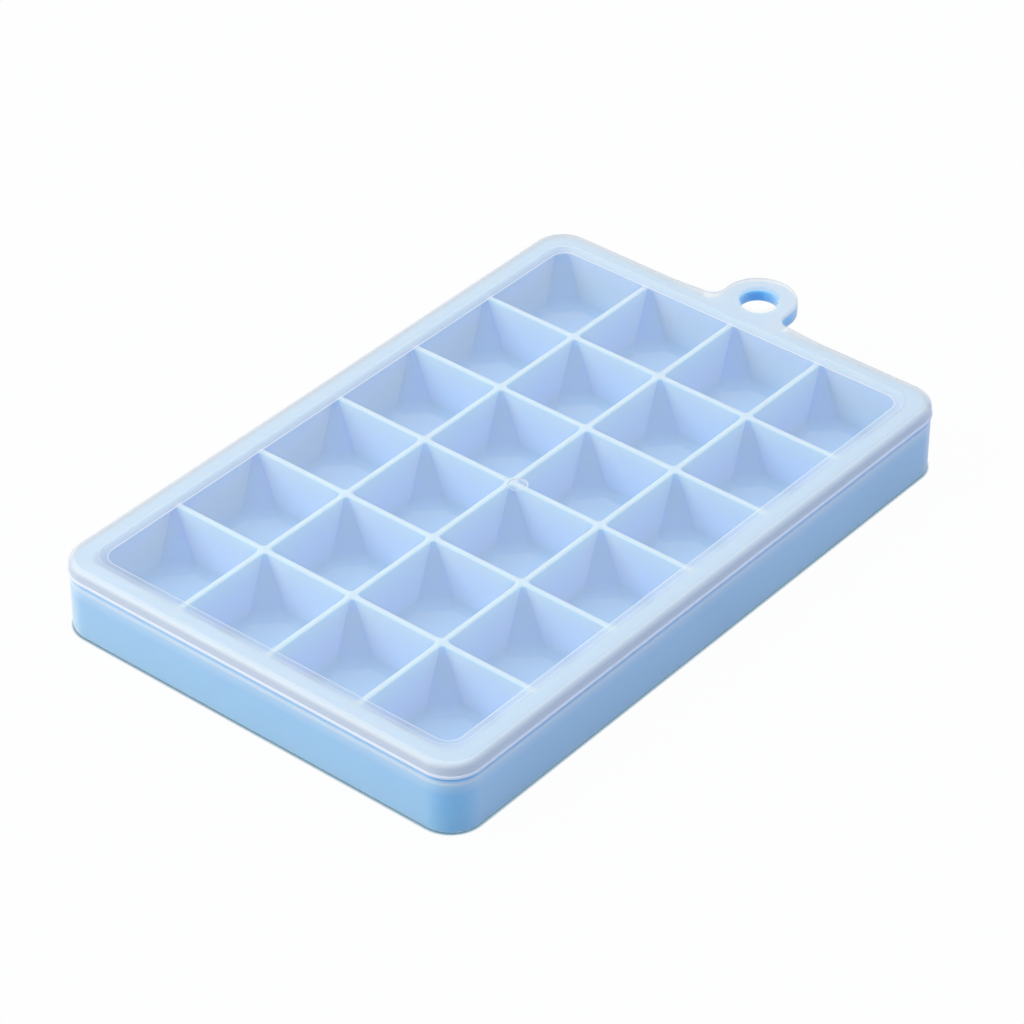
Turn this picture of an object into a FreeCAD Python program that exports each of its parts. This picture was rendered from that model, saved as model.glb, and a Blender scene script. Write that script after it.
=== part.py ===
import FreeCAD, Part
import math
import os

# Silicone ice cube tray with a press-on lid, in millimetres.
# Frame: origin on the standing surface under the middle of the whole outline,
# ear included; +X across the short way, +Y along the long way towards the ear.

# Cell grid
cells_across = 4
cells_along = 6
pitch_across = 26.5
pitch_along = 28.0
divider_thickness = 1.5
edge_cell_gain = 1.1
cell_floor = 3.0
cell_draft_deg = 5.0
cell_mouth_flat = 1.6
cell_floor_flat = 4.6
cell_floor_bevel = 1.6
land_corner = 1.8

# Tray section
tray_height = 18.3
divider_drop = 0.8
rim_width = 4.4
rim_height = 3.3
rim_edge_bevel = 0.4
body_corner = 8.4
shoulder_radius = 0.9
base_edge_radius = 0.8

# Tray underside
skirt_wall = 1.8
cell_wall = 1.6
channel_roof = 2.6
channel_draft_deg = 4.0
block_corner = 5.0
groove_width = 3.0
groove_depth = 5.0
pit_reach = 6.0
pit_tip_reach = 2.2
pit_roof = 4.5

# Hanging ear, shared by the tray and the lid
ear_radius = 9.6
ear_hole_radius = 4.75
ear_reach = 5.3
ear_fillet = 3.0
ear_thickness = 3.0

# Lid
lid_sheet = 1.1
lid_wall = 1.0
lid_side_fit = 0.2
lip_gap = 0.4
lip_height = 0.7
lip_stand = 0.3
lid_edge_radius = 1.0
panel_ramp = 2.1
panel_corner = 4.0
panel_seat_inset = 0.15
gate_radius = 2.4
gate_depth = 0.3
gate_x = 3.0
gate_y = -1.2
ear_hole_fit = 0.2
ear_slot_fit = 0.4

# Levels and margins outside the cell grid that follow from the values above
grid_half_x = cells_across * pitch_across / 2
grid_half_y = cells_along * pitch_along / 2
divider_top = tray_height - divider_drop
cell_depth = divider_top - cell_floor
pit_depth = divider_top - pit_roof
shoulder_z = tray_height - rim_height
lid_top = tray_height + lid_sheet
panel_top = lid_top - divider_drop
lip_z = shoulder_z + lip_gap
rim_edge = edge_cell_gain + rim_width
lid_inner_edge = rim_edge + lid_side_fit
wall_edge = lid_inner_edge + lid_wall
lip_edge = wall_edge + lip_stand
rim_corner = body_corner - lid_wall - lid_side_fit
rim_end_y = grid_half_y + rim_edge
wall_end_y = grid_half_y + wall_edge
ear_y = wall_end_y + ear_reach
outline_middle_y = (ear_y + ear_radius - grid_half_y - lip_edge) / 2


def up(height):
    return FreeCAD.Vector(0, 0, height)


def outline(half_x, half_y, corner, z):
    """Closed wire of a rectangle with round corners, run anticlockwise."""
    corners = []
    signs = ((1, -1), (1, 1), (-1, 1), (-1, -1))
    for turn, (sign_x, sign_y) in enumerate(signs):
        middle = FreeCAD.Vector(sign_x * (half_x - corner), sign_y * (half_y - corner), z)
        start = math.radians(90 * turn - 90)
        points = []
        for part_turn in (0, math.pi / 4, math.pi / 2):
            angle = start + part_turn
            spoke = FreeCAD.Vector(math.cos(angle), math.sin(angle), 0)
            points.append(middle + spoke * corner)
        corners.append(points)
    edges = []
    for points, following in zip(corners, corners[1:] + corners[:1]):
        edges.append(Part.Arc(*points).toShape())
        edges.append(Part.makeLine(points[-1], following[0]))
    return Part.Wire(edges)


def ring(margin, corner, z):
    """Round-cornered outline that runs a margin outside the cell grid."""
    return outline(grid_half_x + margin, grid_half_y + margin, corner, z)


def block(margin, corner, z_low, z_high):
    return Part.Face(ring(margin, corner, z_low)).extrude(up(z_high - z_low))


def tapered(lower, upper):
    """Solid between two outlines that have the same order of corners."""
    return Part.makeLoft([lower, upper], True, True)


def edges_at(shape, z):
    """Edges that lie wholly in one level plane."""
    found = []
    for edge in shape.Edges:
        box = edge.BoundBox
        if abs(box.ZMin - z) < 1e-6 and abs(box.ZMax - z) < 1e-6:
            found.append(edge)
    return found


def ear_plate(root_y, z_low, z_high):
    """Round-ended ear with fillets where it leaves the wall at root_y."""
    inner_y = root_y - ear_fillet
    straight_y = root_y + ear_fillet
    foot = ear_radius + ear_fillet
    diagonal = math.sqrt(0.5)

    def at(x, y):
        return FreeCAD.Vector(x, y, z_low)

    def fillet(side):
        middle = at(side * (foot - ear_fillet * diagonal), straight_y - ear_fillet * diagonal)
        return Part.Arc(at(side * foot, root_y), middle, at(side * ear_radius, straight_y)).toShape()

    tip = Part.Arc(at(ear_radius, ear_y), at(0, ear_y + ear_radius), at(-ear_radius, ear_y)).toShape()
    edges = [
        Part.makeLine(at(-foot, inner_y), at(foot, inner_y)),
        Part.makeLine(at(foot, inner_y), at(foot, root_y)),
        fillet(1),
        Part.makeLine(at(ear_radius, straight_y), at(ear_radius, ear_y)),
        tip,
        Part.makeLine(at(-ear_radius, ear_y), at(-ear_radius, straight_y)),
        fillet(-1),
        Part.makeLine(at(-foot, root_y), at(-foot, inner_y)),
    ]
    return Part.Face(Part.Wire(Part.__sortEdges__(edges))).extrude(up(z_high - z_low))


def ear_hole(radius, z_low, z_high):
    return Part.makeCylinder(radius, z_high - z_low, FreeCAD.Vector(0, ear_y, z_low))


def cell_span(index, count, pitch):
    """Low and high edge of one cell's mouth along one direction of the grid."""
    low = (index - count / 2) * pitch
    high = low + pitch
    low += -edge_cell_gain if index == 0 else divider_thickness / 2
    high += edge_cell_gain if index == count - 1 else -divider_thickness / 2
    return low, high


def flatted_rectangle(low_x, high_x, low_y, high_y, flat, z):
    """Corner points, anticlockwise, of a rectangle whose corners are cut off flat."""
    points = [(low_x + flat, low_y), (high_x - flat, low_y), (high_x, low_y + flat), (high_x, high_y - flat),
              (high_x - flat, high_y), (low_x + flat, high_y), (low_x, high_y - flat), (low_x, low_y + flat)]
    return [FreeCAD.Vector(x, y, z) for x, y in points]


def face_through(points):
    return Part.Face(Part.makePolygon(points + points[:1]))


def flat_sided(low, high):
    """Solid with flat sides between two level rings of as many corner points."""
    faces = [face_through(low[::-1]), face_through(high)]
    for index in range(len(low)):
        following = (index + 1) % len(low)
        faces.append(face_through([low[index], low[following], high[following], high[index]]))
    return Part.Solid(Part.Shell(faces))


def cell_cavity(low_x, high_x, low_y, high_y):
    """Drafted pocket whose upright corner flats widen down to a bevelled floor."""
    inset = cell_depth * math.tan(math.radians(cell_draft_deg))
    floor = flatted_rectangle(low_x + inset, high_x - inset, low_y + inset, high_y - inset,
                              cell_floor_flat, cell_floor)
    mouth = flatted_rectangle(low_x, high_x, low_y, high_y, cell_mouth_flat, divider_top)
    cavity = flat_sided(floor, mouth)
    return cavity.makeChamfer(cell_floor_bevel, edges_at(cavity, cell_floor))


def cell_cavities():
    cavities = []
    for column in range(cells_across):
        low_x, high_x = cell_span(column, cells_across, pitch_across)
        for row in range(cells_along):
            low_y, high_y = cell_span(row, cells_along, pitch_along)
            cavities.append(cell_cavity(low_x, high_x, low_y, high_y))
    return cavities


def underside_channel():
    """Tapered moat between the outer skirt and the block of cells."""
    roof_z = shoulder_z - channel_roof
    cell_slope = math.tan(math.radians(cell_draft_deg))
    skirt_slope = math.tan(math.radians(channel_draft_deg))
    inner_base = edge_cell_gain + cell_wall - divider_top * cell_slope
    inner_roof = inner_base + roof_z * cell_slope
    outer_base = wall_edge - skirt_wall
    outer_roof = outer_base - roof_z * skirt_slope
    outer_corner = body_corner - skirt_wall
    outer = tapered(ring(outer_base, outer_corner, 0),
                    ring(outer_roof, outer_corner - outer_base + outer_roof, roof_z))
    inner = tapered(ring(inner_base, block_corner, 0),
                    ring(inner_roof, block_corner - inner_base + inner_roof, roof_z))
    return outer.cut(inner)


def groove_along_y(offset):
    """Vee groove under one long divider, open downwards."""
    reach = grid_half_y + cell_wall
    corners = [FreeCAD.Vector(offset - groove_width / 2, -reach, 0),
               FreeCAD.Vector(offset + groove_width / 2, -reach, 0),
               FreeCAD.Vector(offset, -reach, groove_depth)]
    return Part.Face(Part.makePolygon(corners + corners[:1])).extrude(FreeCAD.Vector(0, 2 * reach, 0))


def groove_along_x(offset):
    """Vee groove under one short divider, open downwards."""
    reach = grid_half_x + cell_wall
    corners = [FreeCAD.Vector(-reach, offset - groove_width / 2, 0),
               FreeCAD.Vector(-reach, offset + groove_width / 2, 0),
               FreeCAD.Vector(-reach, offset, groove_depth)]
    return Part.Face(Part.makePolygon(corners + corners[:1])).extrude(FreeCAD.Vector(2 * reach, 0, 0))


def diamond(x, y, reach, z):
    """Corner points of a square that stands on its corner, round one crossing."""
    return [FreeCAD.Vector(x + reach, y, z), FreeCAD.Vector(x, y + reach, z),
            FreeCAD.Vector(x - reach, y, z), FreeCAD.Vector(x, y - reach, z)]


def underside_cuts():
    """Channel, grooves, and a pit between the corner flats of each four cells."""
    cuts = [underside_channel()]
    lines_x = [(column - cells_across / 2) * pitch_across for column in range(1, cells_across)]
    lines_y = [(row - cells_along / 2) * pitch_along for row in range(1, cells_along)]
    cuts += [groove_along_y(x) for x in lines_x]
    cuts += [groove_along_x(y) for y in lines_y]
    for x in lines_x:
        for y in lines_y:
            cuts.append(flat_sided(diamond(x, y, pit_reach, 0), diamond(x, y, pit_tip_reach, pit_depth)))
    return cuts


def make_tray():
    """One moulding: skirted body, raised rim, cells, and the hanging ear."""
    body = block(wall_edge, body_corner, 0, shoulder_z)
    body = body.makeFillet(shoulder_radius, edges_at(body, shoulder_z))
    body = body.makeFillet(base_edge_radius, edges_at(body, 0))
    rim = block(rim_edge, rim_corner, shoulder_z, tray_height)
    rim = rim.makeChamfer(rim_edge_bevel, edges_at(rim, tray_height))
    ear_z = tray_height - ear_thickness
    ear = ear_plate(rim_end_y, ear_z, tray_height)
    hole = ear_hole(ear_hole_radius, ear_z, tray_height)
    pocket = block(edge_cell_gain, land_corner, divider_top, tray_height)
    solid = body.fuse([rim, ear]).cut([pocket, hole] + cell_cavities() + underside_cuts())
    return solid.removeSplitter()


def lid_skin():
    """Outer form of the lid with its ear, its outer top edge rounded."""
    skin = block(wall_edge, body_corner, lip_z, lid_top)
    ear = ear_plate(wall_end_y, tray_height, lid_top)
    skin = skin.fuse(ear).removeSplitter()
    skin = skin.makeFillet(lid_edge_radius, edges_at(skin, lid_top))
    return skin.fuse(block(lip_edge, body_corner + lip_stand, lip_z, lip_z + lip_height))


def panel_recess():
    """Sloped dip in the lid's top that lowers the panel to the dividers."""
    low = ring(edge_cell_gain - panel_ramp, panel_corner, panel_top)
    high = ring(edge_cell_gain, panel_corner + panel_ramp, lid_top)
    return tapered(low, high)


def panel_plug():
    """Underside of the dip, seated just inside the tray's land."""
    seat = edge_cell_gain - panel_seat_inset
    low = ring(seat - panel_ramp, panel_corner, divider_top)
    high = ring(seat, panel_corner + panel_ramp, tray_height)
    return tapered(low, high)


def make_lid():
    """One thin moulding: dipped panel, band over the rim, skirt, lip and ear."""
    hollow = block(lid_inner_edge, body_corner - lid_wall, lip_z, tray_height)
    slot_half = ear_radius + ear_fillet + ear_slot_fit
    slot = Part.makeBox(2 * slot_half, ear_reach + ear_radius, tray_height - lip_z,
                        FreeCAD.Vector(-slot_half, rim_end_y, lip_z))
    gate = Part.makeCylinder(gate_radius, gate_depth, FreeCAD.Vector(gate_x, gate_y, panel_top - gate_depth))
    hole = ear_hole(ear_hole_radius + ear_hole_fit, tray_height, lid_top)
    shell = lid_skin().cut([hollow, slot, hole]).fuse(panel_plug()).cut([panel_recess(), gate])
    return shell.removeSplitter()


def save(shape, name):
    solid = shape.Solids[0].translated(FreeCAD.Vector(0, -outline_middle_y, 0))
    solid.exportStep("parts/" + name + ".step")
    print(name, "solids", len(shape.Solids), "valid", solid.isValid(), "cm3", round(solid.Volume / 1000, 2))


os.makedirs("parts", exist_ok=True)
save(make_tray(), "tray")
save(make_lid(), "lid")
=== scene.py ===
"""Silicone ice cube tray with a frosted press-on lid, on a plain pale stage.

Lengths are metres. +X runs across the tray, +Y along it towards the hanging ear, +Z up.
Every outline is given by its margin: how far it runs outside the outermost lines of the cell grid.
"""

import math

import bmesh
import bpy
from bpy.props import FloatProperty, FloatVectorProperty, IntProperty, PointerProperty
from mathutils import Matrix, Vector


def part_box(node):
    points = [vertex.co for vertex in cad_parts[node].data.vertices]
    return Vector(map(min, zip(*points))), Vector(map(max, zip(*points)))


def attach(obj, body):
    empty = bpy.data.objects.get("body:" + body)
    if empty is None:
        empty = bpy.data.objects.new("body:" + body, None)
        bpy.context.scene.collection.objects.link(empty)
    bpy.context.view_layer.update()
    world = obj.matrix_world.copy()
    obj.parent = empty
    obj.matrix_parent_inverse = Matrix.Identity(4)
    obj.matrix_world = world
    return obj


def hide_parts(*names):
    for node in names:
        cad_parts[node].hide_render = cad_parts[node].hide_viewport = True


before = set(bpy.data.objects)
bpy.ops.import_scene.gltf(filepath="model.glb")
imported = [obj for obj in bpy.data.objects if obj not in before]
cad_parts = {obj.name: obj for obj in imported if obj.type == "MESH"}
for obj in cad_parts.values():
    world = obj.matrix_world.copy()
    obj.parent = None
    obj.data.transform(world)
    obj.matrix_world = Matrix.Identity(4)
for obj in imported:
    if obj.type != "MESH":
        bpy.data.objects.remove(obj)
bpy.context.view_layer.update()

bl_info = {
    "name": "Ice Cube Tray",
    "version": (1, 0, 0),
    "blender": (4, 5, 0),
    "location": "View3D > Sidebar > Ice Tray",
    "description": "Builds a silicone ice cube tray with its frosted lid and a plain stage",
    "category": "Add Mesh",
}

# Mesh steps of the outlines: round corners, sides, the wall beside and below the ear, and the ear itself
CORNER_STEPS = 12
LONG_SIDE_STEPS = 24
SHORT_SIDE_STEPS = 16
EAR_WALL_STEPS = 8
EAR_ROOT_STEPS = 9
EAR_FILLET_STEPS = 8
EAR_SIDE_STEPS = 3
EAR_TIP_STEPS = 40

# Mesh steps of the round holes, the gate mark and an edge's rounding
HOLE_STEPS = 48
GATE_STEPS = 64
EDGE_STEPS = 6

# Points closer than CLOSE are taken for one; in a finished piece they have to be closer still
CLOSE = 1e-6
PIECE_WELD = 1e-7

# Edges that bend more than this stay crisp in the shading
CRISP_ANGLE = math.radians(42)

# Level directions in the frame
LEFT, RIGHT = Vector((-1, 0)), Vector((1, 0))
FRONT, BACK = Vector((0, -1)), Vector((0, 1))


def linear(hex_text):
    """sRGB hex colour as linear red, green, blue and alpha."""
    values = []
    for start in (1, 3, 5):
        level = int(hex_text[start:start + 2], 16) / 255
        values.append(level / 12.92 if level <= 0.04045 else ((level + 0.055) / 1.055) ** 2.4)
    return (*values, 1.0)


def position(name, description, default):
    """A setting in metres that may be negative."""
    return FloatProperty(name=name, description=description, default=default, precision=5, unit="LENGTH")


def length(name, description, default):
    """A setting in metres."""
    return FloatProperty(name=name, description=description, default=default, min=0.0, precision=5,
                         unit="LENGTH")


def lean(name, description, degrees):
    """A setting that is an angle, stored in radians."""
    return FloatProperty(name=name, description=description, default=math.radians(degrees), subtype="ANGLE")


def factor(name, description, default):
    """A setting between 0 and 1."""
    return FloatProperty(name=name, description=description, default=default, min=0.0, max=1.0,
                         subtype="FACTOR")


def paint(name, description, hex_text):
    """A colour setting, given as an sRGB hex value."""
    return FloatVectorProperty(name=name, description=description, default=linear(hex_text), size=4,
                               min=0.0, max=1.0, subtype="COLOR")


class GridSettings(bpy.types.PropertyGroup):
    """The cells, which the tray's pockets and the lid's panel share."""

    across: IntProperty(name="Cells Across", description="Number of cells along X", default=4, min=1)
    along: IntProperty(name="Cells Along", description="Number of cells along Y", default=6, min=1)
    pitch_x: length("Pitch Across", "Distance between divider middles along X", 0.0265)
    pitch_y: length("Pitch Along", "Distance between divider middles along Y", 0.028)
    edge_gain: length("Edge Cell Gain", "How much the outer cells pass the outermost grid line", 0.0011)


class TraySettings(bpy.types.PropertyGroup):
    """The silicone tray."""

    height: length("Height", "From the standing surface to the rim's top", 0.0183)
    divider: length("Divider", "Thickness of a divider at its top", 0.0015)
    divider_drop: length("Divider Drop", "How far the divider tops lie below the rim", 0.0008)
    divider_round: length("Divider Rounding", "Radius along the divider tops", 0.00035)
    depth: length("Cell Depth", "From the divider tops to a cell's floor", 0.0145)
    draft: lean("Draft", "Lean of the cell walls", 5)
    mouth_flat: length("Mouth Flat", "How far a cell's upright corner is cut off at its mouth", 0.0005)
    floor_flat: length("Floor Flat", "How far a cell's upright corner is cut off at its floor", 0.006)
    edge_flat: length("Edge Flat", "How much more the tray's four corner cells are cut off outside", 0.0013)
    flat_round: length("Flat Rounding", "Radius beside a corner flat at a cell's mouth", 0.0006)
    flat_round_low: length("Low Flat Rounding", "The same radius at a cell's floor", 0.0028)
    floor_round: length("Floor Rounding", "Radius between a cell's walls and floor", 0.0022)
    land_round: length("Land Rounding", "Radius along the top of the step round the cells", 0.0003)
    rim_margin: length("Rim Margin", "Margin of the rim's outer wall", 0.0055)
    rim_round: length("Rim Rounding", "Radius along the rim's top", 0.0005)
    wall_margin: length("Wall Margin", "Margin of the outer wall", 0.0067)
    wall_corner: length("Wall Corner", "Upright corner radius of the outer wall", 0.0084)
    shoulder: length("Shoulder", "Height of the ledge below the rim", 0.015)
    shoulder_round: length("Shoulder Rounding", "How far in the rounding along the ledge reaches", 0.001)
    shoulder_fall: length("Shoulder Fall", "How far down that rounding reaches", 0.0018)
    foot_round: length("Foot Rounding", "Radius along the lower edge", 0.0008)
    ear_bottom: length("Ear Bottom", "Height of the ear's underside", 0.0153)


class UndersideSettings(bpy.types.PropertyGroup):
    """The tray's hidden side: the block of cells, the skirt round it and the channel between them."""

    skirt: length("Skirt Wall", "Thickness of the outer wall at its foot", 0.0018)
    skirt_draft: lean("Skirt Draft", "Lean of the outer wall's inner side", 4)
    skirt_round: length("Skirt Rounding", "Radius along the outer wall's inner lower edge", 0.0003)
    channel_roof: length("Channel Roof", "Silicone between the channel and the ledge over it", 0.0026)
    channel_round: length("Channel Rounding", "Radius along the channel's upper edges", 0.0005)
    cell_wall: length("Cell Wall", "Thickness of the wall round the block of cells", 0.0016)
    block_corner: length("Block Corner", "Upright corner radius of the block of cells", 0.005)
    block_round: length("Block Rounding", "Radius along the block's lower edge", 0.0004)
    groove_width: length("Groove Width", "Width of the vee grooves under the dividers", 0.003)
    groove_depth: length("Groove Depth", "Depth of those grooves", 0.005)
    groove_blend: length("Groove Blend", "Softness of the grooves' edges", 0.0005)
    pit_reach: length("Pit Reach", "From a crossing to a corner of the pit below it, at its mouth", 0.006)
    pit_tip: length("Pit Tip", "From a crossing to a corner of that pit, at its roof", 0.0022)
    pit_depth: length("Pit Depth", "Depth of the pits", 0.013)
    pit_blend: length("Pit Blend", "Softness of the pits' edges", 0.0006)


class EarSettings(bpy.types.PropertyGroup):
    """The hanging ear, which the tray and the lid share."""

    radius: length("Radius", "Radius of the ear's round end", 0.0096)
    reach: length("Reach", "From the outer wall to the hole's middle", 0.0053)
    fillet: length("Fillet", "Radius where the ear leaves the wall", 0.003)
    hole: length("Hole", "Radius of the hole in the tray's ear", 0.00475)
    hole_fit: length("Hole Fit", "How much larger the lid's hole is", 0.0002)
    slot: length("Slot Fit", "Room beside the ear in the lid's skirt", 0.0004)
    low_round: length("Low Rounding", "Radius along the tray ear's lower edge and round its hole", 0.0004)
    lid_low_round: length("Lid Low Rounding", "Radius along the lid ear's lower edge", 0.0002)
    lid_hole_round: length("Lid Hole Rounding", "Radius round the lid ear's hole", 0.00025)


class LidSettings(bpy.types.PropertyGroup):
    """The frosted press-on lid."""

    top: length("Top", "Height of the band over the rim", 0.0194)
    sheet: length("Sheet", "Thickness of the lid's top", 0.0011)
    seat: length("Seat", "Gap left between the lid and the silicone it lies on", 0.00004)
    wall: length("Wall", "Thickness of the skirt", 0.001)
    bottom: length("Bottom", "Height of the skirt's lower edge", 0.0154)
    lip: length("Lip", "How far the lip stands out of the skirt", 0.0003)
    lip_height: length("Lip Height", "Height of the lip", 0.0007)
    lip_round: length("Lip Rounding", "Radius along the lip's edges", 0.0002)
    foot_round: length("Foot Rounding", "Radius along the skirt's inner lower edge", 0.00015)
    inner_round: length("Inner Rounding", "Radius where the skirt's inside meets the top", 0.0005)
    edge_round: length("Edge Rounding", "How far in the rounding along the band's outer edge reaches", 0.0026)
    edge_fall: length("Edge Fall", "How far down that rounding reaches", 0.0015)
    ear_round: length("Ear Rounding", "Radius along the ear's top edge", 0.0007)
    ramp: length("Ramp", "Width of the slope from the band to the panel", 0.0021)
    ramp_drop: length("Ramp Drop", "Height of that slope", 0.0008)
    ramp_soft: length("Ramp Softness", "Half width of the bend at the slope's head", 0.0003)
    seat_in: length("Seat Inset", "How far inside the step round the cells the panel is seated", 0.00015)
    panel_corner: length("Panel Corner", "Corner radius of the panel", 0.004)
    gate: length("Gate Mark", "Radius of the round mark left by moulding", 0.0024)
    gate_depth: length("Gate Depth", "Depth of that mark", 0.0003)
    gate_x: position("Gate X", "The mark's place across the panel", 0.003)
    gate_y: position("Gate Y", "The mark's place along the panel", -0.0012)


class ColourSettings(bpy.types.PropertyGroup):
    """Colours of the two pieces and the stage."""

    silicone: paint("Silicone", "Blue of the silicone, seen straight on", "#84C5FE")
    silicone_deep: paint("Silicone Cloud", "Slightly deeper blue in the silicone", "#7FC2FD")
    # Painted glow and highlight: the paler blue stands for light passing through thin silicone, and for light
    # caught along the ledge
    painted_glow_blue: paint("Silicone Edge", "Paler blue along the thin divider tops", "#CDE3FA")
    # Painted sheen: the pale colour stands for white light reflected at slanting angles
    silicone_sheen: paint("Silicone Skin", "Pale bloom of the matt skin, seen at a slant", "#E6EEF8")
    lid: paint("Lid", "White of the frosted lid", "#E9EDE1")
    lid_edge: paint("Lid Edge", "Tint where the eye looks through more of the lid", "#DBE8FC")
    floor: paint("Floor", "Pale floor", "#C7D2E6")
    # Painted contact shadow: the floor's colour right beside the tray's foot
    contact_shadow: paint("Contact", "Floor right beside the tray's foot", "#5F8FA8")
    # Shares of the painted glow on the divider tops and where their rounding ends
    top_glow: factor("Divider Top Paleness", "Share of the paler blue on the divider tops", 0.62)
    edge_glow: factor("Divider Edge Paleness", "The same where their rounding ends", 0.56)
    panel_haze: factor("Panel Haze", "How much each face of the lid's panel hides", 0.165)
    band_haze: factor("Band Haze", "How much each face of the band and the ear hides", 0.34)
    slope_haze: factor("Slope Haze", "How much each face of the slope round the panel hides", 0.36)
    head_haze: factor("Slope Head Haze", "The same in the thin bright line at the slope's head", 0.5)
    foot_haze: factor("Slope Foot Haze", "The same in the thin bright line at the slope's foot", 0.7)
    skirt_haze: factor("Skirt Haze", "How much each face of the lid's rounded edge and skirt hides", 0.6)
    lip_haze: factor("Lip Haze", "How much each face of the lip hides", 0.95)
    gate_haze: factor("Gate Haze", "How much the gate mark's edge hides", 0.62)
    gate_middle_haze: factor("Gate Middle Haze", "How much the middle of that mark hides", 0.3)


class TrayModelSettings(bpy.types.PropertyGroup):
    """All settings together."""

    grid: PointerProperty(type=GridSettings)
    tray: PointerProperty(type=TraySettings)
    underside: PointerProperty(type=UndersideSettings)
    ear: PointerProperty(type=EarSettings)
    lid: PointerProperty(type=LidSettings)
    colours: PointerProperty(type=ColourSettings)


# Outlines. A spoke is a point of an outline with the direction that points out of the piece there.


def arc_spokes(centre, radius, start, end, steps, outward=1):
    """Spokes along an arc between two angles in degrees; outward is -1 where the piece lies outside it."""
    spokes = []
    for step in range(steps + 1):
        angle = math.radians(start + (end - start) * step / steps)
        spoke = Vector((math.cos(angle), math.sin(angle)))
        spokes.append((centre + spoke * radius, spoke * outward))
    return spokes


def straight_spokes(start, end, outward, steps):
    """Spokes along a straight run, its ends left out."""
    return [(start.lerp(end, step / steps), outward) for step in range(1, steps)]


def half_sizes(grid, margin):
    """Half the width and half the length of the outline with this margin."""
    return grid.across * grid.pitch_x / 2 + margin, grid.along * grid.pitch_y / 2 + margin


def wall_spokes(grid, margin, corner, half_slot):
    """Outline from the ear's left side round the tray to the ear's right side."""
    half_x, half_y = half_sizes(grid, margin)
    cx, cy = half_x - corner, half_y - corner
    first, last = Vector((-half_slot, half_y)), Vector((half_slot, half_y))
    spokes = [(first, BACK)]
    spokes += straight_spokes(first, Vector((-cx, half_y)), BACK, EAR_WALL_STEPS)
    spokes += arc_spokes(Vector((-cx, cy)), corner, 90, 180, CORNER_STEPS)
    spokes += straight_spokes(Vector((-half_x, cy)), Vector((-half_x, -cy)), LEFT, LONG_SIDE_STEPS)
    spokes += arc_spokes(Vector((-cx, -cy)), corner, 180, 270, CORNER_STEPS)
    spokes += straight_spokes(Vector((-cx, -half_y)), Vector((cx, -half_y)), FRONT, SHORT_SIDE_STEPS)
    spokes += arc_spokes(Vector((cx, -cy)), corner, 270, 360, CORNER_STEPS)
    spokes += straight_spokes(Vector((half_x, -cy)), Vector((half_x, cy)), RIGHT, LONG_SIDE_STEPS)
    spokes += arc_spokes(Vector((cx, cy)), corner, 0, 90, CORNER_STEPS)
    spokes += straight_spokes(Vector((cx, half_y)), last, BACK, EAR_WALL_STEPS)
    return spokes + [(last, BACK)]


def closed_wall(grid, margin, corner, half_slot):
    """The round-cornered outline all the way round, straight across where the ear would be."""
    spokes = wall_spokes(grid, margin, corner, half_slot)
    return spokes + straight_spokes(spokes[-1][0], spokes[0][0], BACK, EAR_ROOT_STEPS)


def ear_spokes(ear, root_y, ear_y):
    """Outline of the ear from its right foot over the tip to its left foot."""
    foot = ear.radius + ear.fillet
    knee = root_y + ear.fillet
    spokes = arc_spokes(Vector((foot, knee)), ear.fillet, 270, 180, EAR_FILLET_STEPS, -1)
    spokes += straight_spokes(Vector((ear.radius, knee)), Vector((ear.radius, ear_y)), RIGHT, EAR_SIDE_STEPS)
    spokes += arc_spokes(Vector((0, ear_y)), ear.radius, 0, 180, EAR_TIP_STEPS)
    spokes += straight_spokes(Vector((-ear.radius, ear_y)), Vector((-ear.radius, knee)), LEFT, EAR_SIDE_STEPS)
    return spokes + arc_spokes(Vector((-foot, knee)), ear.fillet, 0, -90, EAR_FILLET_STEPS, -1)


def outward_at(point, half_x, half_y, corner):
    """Direction that points out of a round-cornered rectangle at a point of its outline."""
    over_x = abs(point.x) - (half_x - corner)
    over_y = abs(point.y) - (half_y - corner)
    side_x = math.copysign(1, point.x)
    side_y = math.copysign(1, point.y)
    if over_x > 0 and over_y > 0:
        return Vector((side_x * over_x, side_y * over_y)).normalized()
    if abs(abs(point.x) - half_x) < abs(abs(point.y) - half_y):
        return Vector((side_x, 0))
    return Vector((0, side_y))


# Mesh making


def ring(bm, spokes, out, z):
    """Vertices along an outline moved out by a distance; out and z may differ per spoke."""
    outs = out if isinstance(out, list) else [out] * len(spokes)
    levels = z if isinstance(z, list) else [z] * len(spokes)
    verts = []
    for (point, outward), distance, level in zip(spokes, outs, levels):
        place = point + outward * distance
        verts.append(bm.verts.new((place.x, place.y, level)))
    return verts


def skin(bm, rings, closed=True):
    """Faces between each two neighbouring rings of as many vertices."""
    faces = []
    for upper, lower in zip(rings, rings[1:]):
        count = len(upper)
        for index in range(count if closed else count - 1):
            following = (index + 1) % count
            faces.append(bm.faces.new((upper[index], upper[following], lower[following], lower[index])))
    return faces


def fill(bm, rings):
    """Flat faces inside the first ring and outside the others; all lie in one plane."""
    edges = []
    for verts in rings:
        for first, second in zip(verts, verts[1:] + verts[:1]):
            edges.append(bm.edges.get((first, second)) or bm.edges.new((first, second)))
    bmesh.ops.triangle_fill(bm, use_beauty=True, edges=edges)


def store(bm, name, rings, value):
    """Stores a value at the rings' vertices, which the material reads by its name."""
    layer = bm.verts.layers.float[name]
    for verts in rings:
        for vert in verts:
            vert[layer] = value


def quarter(radius, steps=EDGE_STEPS):
    """(inwards, downwards) steps of a rounded edge, from the level face to the upright one."""
    turns = [math.pi / 2 * step / steps for step in range(steps + 1)]
    return [(radius * (1 - math.sin(turn)), radius * (1 - math.cos(turn))) for turn in turns]


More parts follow.
